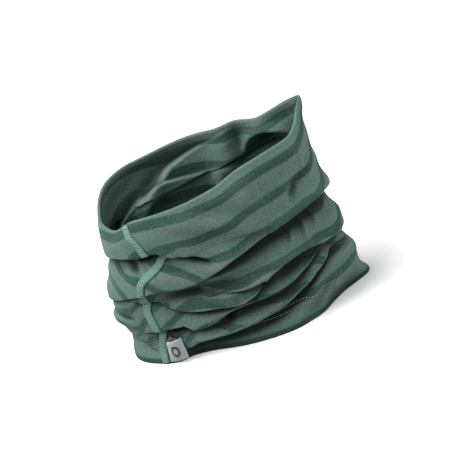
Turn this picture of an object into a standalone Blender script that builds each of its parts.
"""A knitted neck gaiter, scrunched down and standing upright on its hem.

Metres, +Z up.  The opening's long way is X and the front is -Y.  The cloth pieces are lofts that
run round the tube, thickened to the cloth's gauge; the sewing threads are thin wires along them.
"""

import math

import bmesh
import bpy
from mathutils import Vector

# ---- driving dimensions ---------------------------------------------------------------------
HALF_WIDTH = 0.098          # half of the tube across X, at the bottom of a crease
HALF_DEPTH = 0.047          # half of the tube across Y, at the bottom of a crease
HEM_FLARE = 1.07            # how much wider the tube is at the hem
HEM_BAND = 0.034            # the height up to which the whole flare is kept
FLARE_HEIGHT = 0.060        # the further height in which it dies out
POINTED = 1.12              # 1 is an ellipse; more makes the section's two ends sharper
# Heights round the tube at equal steps of angle, from the right end (+X) by way of the back.
RIM = (0.192, 0.184, 0.172, 0.166, 0.165, 0.162, 0.143, 0.134, 0.150, 0.158, 0.168, 0.169)
CREASES = (                 # between the folds, from the hem up
    (0.034, 0.030, 0.024, 0.021, 0.018, 0.026),
    (0.052, 0.048, 0.042, 0.036, 0.036, 0.042),
    (0.068, 0.064, 0.060, 0.060, 0.056, 0.060),
    (0.100, 0.092, 0.084, 0.074, 0.075, 0.094),
    (0.134, 0.126, 0.116, 0.102, 0.109, 0.128),
)
FOLD_BULGE = 0.006          # how far a fold stands out from the creases above and below it
CLOTH = 0.0010              # thickness of the jersey
GAP = 0.0003                # clearance between pieces that touch
COLUMNS = 40                # facets round the tube
ANGLE_STEP = 0.01           # a small turn, used to measure directions along the wall

EDGE_DROP = 0.016           # how far the outer leaf of the rim's fold-over hangs down
FACING_DROP = 0.030         # how far its inner leaf hangs down inside
EDGE_ROLL = 0.0035          # radius of the soft roll between the two leaves
ROLL_STEPS = 4

SEAM_ANGLE = math.radians(221)   # the seam stands at the front left
SEAM_WIDTH = 0.0055
SEAM_TAPE = 0.0008          # thickness of the overlapped edges under the seam
THREAD = 0.0003             # radius of a sewing thread
THREAD_LIFT = 0.0010        # height of a thread's centre over the cloth's face
TAPE_INSET = CLOTH / 2 + SEAM_TAPE / 2 + 5 * GAP   # from the wall's middle to the tape's middle

LABEL_START = 0.0035        # from the middle of the seam to the label's hinge line
LABEL_REACH = 0.014         # from the hinge line to the label's fold
LABEL_TALL = 0.020
LABEL_FOOT = 0.003          # height of the label's lower end
LABEL_STRIP = 0.0004        # thickness of the woven strip
LABEL_LEAF_SPACING = 0.0012  # between the middles of the label's two leaves
MARK_RADIUS = 0.0036        # of the plain embroidered ring
MARK_THREAD = 0.0003
MARK_SEGMENTS = (24, 6)     # along the ring and round its thread

# Shares of a fold's height and of its bulge, from the crease under it up to the next crease.
# The second row hangs below the crease, so that each fold laps over the one beneath.
FOLD_PROFILE = ((0.0, 0.0), (-0.12, 0.75), (0.15, 1.0), (0.65, 0.75))
# The same for the hem band, which starts with an upright lip so that its lower edge is flat.
HEM_PROFILE = ((0.0, 0.9), (0.1, 0.9), (0.3, 1.0), (0.5, 1.0), (0.68, 0.8))
STITCHED_ROWS = (3, 4)      # the rows of HEM_PROFILE that carry the twin stitching
LABEL_ROW = 2               # the row of HEM_PROFILE whose outward direction the label faces

# ---- colours --------------------------------------------------------------------------------
JERSEY = (0.13, 0.26, 0.21)
JERSEY_DARK = (0.06, 0.17, 0.13)
THREAD_GREEN = (0.20, 0.36, 0.29)
LABEL_GREY = (0.40, 0.46, 0.46)
MARK_MAROON = (0.12, 0.04, 0.05)


# ---- scene helpers --------------------------------------------------------------------------
def clear_scene():
    for item in list(bpy.data.objects):
        bpy.data.objects.remove(item, do_unlink=True)


def make_collection(name):
    collection = bpy.data.collections.new(name)
    bpy.context.scene.collection.children.link(collection)
    return collection


def make_material(name, colour, roughness, metallic=0.0):
    material = bpy.data.materials.new(name)
    material.use_nodes = True
    shader = material.node_tree.nodes["Principled BSDF"]
    shader.inputs["Base Color"].default_value = (*colour, 1.0)
    shader.inputs["Roughness"].default_value = roughness
    shader.inputs["Metallic"].default_value = metallic
    return material


def add_object(name, data, collection, material, parent=None):
    piece = bpy.data.objects.new(name, data)
    data.materials.append(material)
    collection.objects.link(piece)
    if parent:
        piece.parent = parent
        piece.matrix_parent_inverse = parent.matrix_basis.inverted()
    return piece


def add_axis_empty(name, place, collection):
    empty = bpy.data.objects.new(name, None)
    empty.location = place
    collection.objects.link(empty)
    return empty


# ---- the tube's form ------------------------------------------------------------------------
def around(angle, heights):
    """A smooth closed curve of height through values at equal steps of angle (Catmull-Rom)."""
    place = angle / (2 * math.pi) * len(heights)
    start = math.floor(place)
    share = place - start
    before, low, high, after = (heights[(start + step) % len(heights)] for step in (-1, 0, 1, 2))
    slope_in = (high - before) / 2
    slope_out = (after - low) / 2
    bend = 3 * (high - low) - 2 * slope_in - slope_out
    twist = 2 * (low - high) + slope_in + slope_out
    return low + slope_in * share + bend * share ** 2 + twist * share ** 3


def flare(height):
    above_band = max(height - HEM_BAND, 0.0)
    return 1 + (HEM_FLARE - 1) * max(0.0, 1 - above_band / FLARE_HEIGHT)


def cloth_point(angle, height, bulge):
    """A point of the cloth's middle surface, standing out by bulge from the creases."""
    wide = HALF_WIDTH * flare(height) + bulge
    deep = HALF_DEPTH * flare(height) + bulge
    sine = math.sin(angle)
    return Vector((wide * math.cos(angle), deep * math.copysign(abs(sine) ** POINTED, sine), height))


def wall_profile(angle):
    """(height, bulge) of each row of the tube's wall at one angle, from the hem up."""
    heights = [around(angle, levels) for levels in CREASES]
    heights.append(around(angle, RIM) - CLOTH / 2 - EDGE_DROP - GAP)
    rows = [(heights[0] * share, FOLD_BULGE * out) for share, out in HEM_PROFILE]
    for foot, head in zip(heights, heights[1:]):
        rows += [(foot + share * (head - foot), FOLD_BULGE * out) for share, out in FOLD_PROFILE]
    rows.append((heights[-1], FOLD_BULGE * FOLD_PROFILE[-1][1]))
    return rows


def wall_line(angle):
    return [cloth_point(angle, height, bulge) for height, bulge in wall_profile(angle)]


def outward(angle, row):
    """The cloth's outward direction at a row of the wall."""
    line = wall_line(angle)
    up = line[min(row + 1, len(line) - 1)] - line[max(row - 1, 0)]
    along = wall_line(angle + ANGLE_STEP)[row] - wall_line(angle - ANGLE_STEP)[row]
    return along.cross(up).normalized()


def lifted(angle, row, lift):
    """A point at a distance from the wall's middle surface; inside the tube if lift is negative."""
    return wall_line(angle)[row] + outward(angle, row) * lift


def seam_shift(distance):
    """The change of angle that moves a point along the wall by a distance at the seam."""
    reach = cloth_point(SEAM_ANGLE + ANGLE_STEP, 0, 0) - cloth_point(SEAM_ANGLE, 0, 0)
    return distance / reach.length * ANGLE_STEP


def column_angles():
    return [2 * math.pi * column / COLUMNS for column in range(COLUMNS)]


# ---- mesh and wire builders -----------------------------------------------------------------
def loft(name, lines, closed):
    """An open surface through lines of points that all have the same number of points."""
    mesh = bpy.data.meshes.new(name)
    surface = bmesh.new()
    grid = [[surface.verts.new(point) for point in line] for line in lines]
    pairs = list(zip(grid, grid[1:]))
    if closed:
        pairs.append((grid[-1], grid[0]))
    for line, following in pairs:
        for row in range(len(line) - 1):
            surface.faces.new((line[row], following[row], following[row + 1], line[row + 1]))
    surface.to_mesh(mesh)
    surface.free()
    mesh.shade_smooth()
    return mesh


def thicken(piece, thickness):
    solidify = piece.modifiers.new("gauge", "SOLIDIFY")
    solidify.thickness = thickness
    solidify.offset = 0


def wire(name, points, radius, cyclic=False):
    """A thin thread through the points."""
    curve = bpy.data.curves.new(name, "CURVE")
    curve.dimensions = "3D"
    curve.bevel_depth = radius
    curve.bevel_resolution = 1
    curve.use_fill_caps = not cyclic
    spline = curve.splines.new("POLY")
    spline.points.add(len(points) - 1)
    for slot, point in zip(spline.points, points):
        slot.co = (*point, 1.0)
    spline.use_cyclic_u = cyclic
    return curve


# ---- cloth ----------------------------------------------------------------------------------
def make_fabric_tube(collection, material):
    mesh = loft("fabric_tube", [wall_line(angle) for angle in column_angles()], True)
    thicken(add_object("fabric_tube", mesh, collection, material), CLOTH)


def make_hem_turning(collection, material):
    """The cloth turned up inside the hem band, held just off the wall."""
    inset = -(CLOTH + 2 * GAP)
    lines = []
    for angle in column_angles():
        line = [lifted(angle, row, inset) for row in range(len(HEM_PROFILE))]
        line[0].z = CLOTH
        lines.append(line)
    mesh = loft("hem_turning", lines, True)
    thicken(add_object("hem_turning", mesh, collection, material), CLOTH)


def edge_profile():
    """(drop below the rim, distance inside the outer leaf) of the fold-over, outside to inside."""
    rows = [(EDGE_DROP, 0.0)]
    for step in range(ROLL_STEPS + 1):
        turn = math.pi * step / ROLL_STEPS
        rows.append((EDGE_ROLL * (1 - math.sin(turn)), EDGE_ROLL * (1 - math.cos(turn))))
    rows.append((FACING_DROP, 2 * EDGE_ROLL))
    return rows


def make_top_edge(collection, material, lift_axis):
    """The cloth rolled over at the rim, with its facing hanging inside the tube."""
    outer = FOLD_BULGE * FOLD_PROFILE[-1][1]
    lines = []
    for angle in column_angles():
        rim = around(angle, RIM) - CLOTH / 2
        lines.append([cloth_point(angle, rim - drop, outer - inside) for drop, inside in edge_profile()])
    mesh = loft("top_edge", lines, True)
    thicken(add_object("top_edge", mesh, collection, material, lift_axis), CLOTH)


# ---- seam and hem sewing --------------------------------------------------------------------
def seam_line(angle, lift):
    """A line up the seam, off the wall's middle surface by lift.

    It starts over the overhang of the first fold.  Outside it bridges each crease above that,
    and inside it bridges each fold's overhanging row.
    """
    bridged = 0 if lift > 0 else 1
    first = len(HEM_PROFILE)
    rows = range(first + 2, len(wall_profile(angle)))
    kept = [row for row in rows if (row - first) % len(FOLD_PROFILE) != bridged]
    if lift > 0:
        return [lifted(angle, row, lift) for row in kept]
    profile = wall_profile(angle)
    return [cloth_point(angle, profile[row][0], profile[row][1] + lift) for row in kept]


def make_seam_tape(collection, material):
    """The overlapped edges of the panel, flat against the inside of the wall above the hem."""
    angles = [SEAM_ANGLE + seam_shift(SEAM_WIDTH * side) for side in (-0.5, 0.5)]
    mesh = loft("seam_overlap", [seam_line(angle, -TAPE_INSET) for angle in angles], False)
    thicken(add_object("seam_overlap", mesh, collection, material), SEAM_TAPE)


def make_seam_thread(name, shift, lift, collection, material):
    points = seam_line(SEAM_ANGLE + seam_shift(shift), lift)
    add_object(name, wire(name, points, THREAD), collection, material)


def make_cover_thread(name, half_width, lift, collection, material):
    """The thread that crosses from side to side between the needle threads."""
    sides = [seam_line(SEAM_ANGLE + seam_shift(side * half_width), lift) for side in (-1, 1)]
    points = [sides[row % 2][row] for row in range(len(sides[0]))]
    add_object(name, wire(name, points, THREAD), collection, material)


def make_hem_thread(name, row, lift, collection, material):
    points = [lifted(angle, row, lift) for angle in column_angles()]
    add_object(name, wire(name, points, THREAD, cyclic=True), collection, material)


def make_sewing(collection, material):
    outside = CLOTH / 2 + THREAD_LIFT
    under_tape = -(TAPE_INSET + SEAM_TAPE / 2 + THREAD_LIFT + GAP)
    under_hem = -(CLOTH * 1.5 + 2 * GAP + THREAD_LIFT)
    needle = SEAM_WIDTH * 0.4
    make_seam_thread("seam_needle_thread_left", -needle, outside, collection, material)
    make_seam_thread("seam_needle_thread_right", needle, outside, collection, material)
    make_cover_thread("seam_cover_thread", needle / 2, outside, collection, material)
    make_seam_thread("seam_looper_thread", 0.0, under_tape, collection, material)
    make_hem_thread("hem_needle_thread_lower", STITCHED_ROWS[0], outside, collection, material)
    make_hem_thread("hem_needle_thread_upper", STITCHED_ROWS[1], outside, collection, material)
    make_hem_thread("hem_looper_thread", STITCHED_ROWS[0], under_hem, collection, material)


# ---- label ----------------------------------------------------------------------------------
def label_frame():
    """The label's hinge line, the way it reaches along the wall, and the way it faces."""
    angle = SEAM_ANGLE + seam_shift(LABEL_START)
    face = outward(angle, LABEL_ROW)
    face.z = 0
    face.normalize()
    reach = Vector((0, 0, 1)).cross(face)
    proud = CLOTH / 2 + THREAD_LIFT + LABEL_LEAF_SPACING
    hinge = cloth_point(angle, 0, FOLD_BULGE) + face * proud
    return hinge, reach, face


def make_label(collection, materials, flip_axis):
    hinge, reach, face = label_frame()
    half = LABEL_LEAF_SPACING / 2
    path = [(0.0, -half)]
    for step in range(ROLL_STEPS + 1):
        turn = math.pi * step / ROLL_STEPS
        path.append((LABEL_REACH - half + half * math.sin(turn), -half * math.cos(turn)))
    path.append((0.0, half))
    lines = []
    for height in (LABEL_FOOT, LABEL_FOOT + LABEL_TALL):
        foot = hinge + Vector((0, 0, height))
        lines.append([foot + reach * along + face * out for along, out in path])
    mesh = loft("label_loop", lines, False)
    thicken(add_object("label_loop", mesh, collection, materials["label"], flip_axis), LABEL_STRIP)

    proud = half + LABEL_STRIP / 2 + GAP + MARK_THREAD
    middle = hinge + reach * LABEL_REACH / 2 + face * proud
    middle.z = LABEL_FOOT + LABEL_TALL / 2
    segments_along, segments_round = MARK_SEGMENTS
    bpy.ops.mesh.primitive_torus_add(
        major_radius=MARK_RADIUS, minor_radius=MARK_THREAD, major_segments=segments_along,
        minor_segments=segments_round, location=middle, rotation=face.to_track_quat("Z", "Y").to_euler())
    ring = bpy.context.object
    for owner in list(ring.users_collection):
        owner.objects.unlink(ring)
    collection.objects.link(ring)
    ring.name = "label_mark"
    ring.data.materials.append(materials["mark"])
    ring.data.shade_smooth()
    ring.parent = flip_axis
    ring.matrix_parent_inverse = flip_axis.matrix_basis.inverted()


# ---- assembly -------------------------------------------------------------------------------
def make_materials():
    return {
        "jersey": make_material("jersey", JERSEY, 0.92),
        "turned": make_material("jersey_turned", JERSEY_DARK, 0.92),
        "thread": make_material("sewing_thread", THREAD_GREEN, 0.7),
        "label": make_material("label_satin", LABEL_GREY, 0.45),
        "mark": make_material("label_embroidery", MARK_MAROON, 0.6),
    }


def build():
    clear_scene()
    collection = make_collection("neck_gaiter")
    materials = make_materials()
    lift_axis = add_axis_empty("edge_lift_axis", (0, 0, max(RIM)), collection)
    flip_axis = add_axis_empty("label_flip_axis", label_frame()[0], collection)
    make_fabric_tube(collection, materials["jersey"])
    make_hem_turning(collection, materials["turned"])
    make_top_edge(collection, materials["jersey"], lift_axis)
    make_seam_tape(collection, materials["turned"])
    make_sewing(collection, materials["thread"])
    make_label(collection, materials, flip_axis)


build()
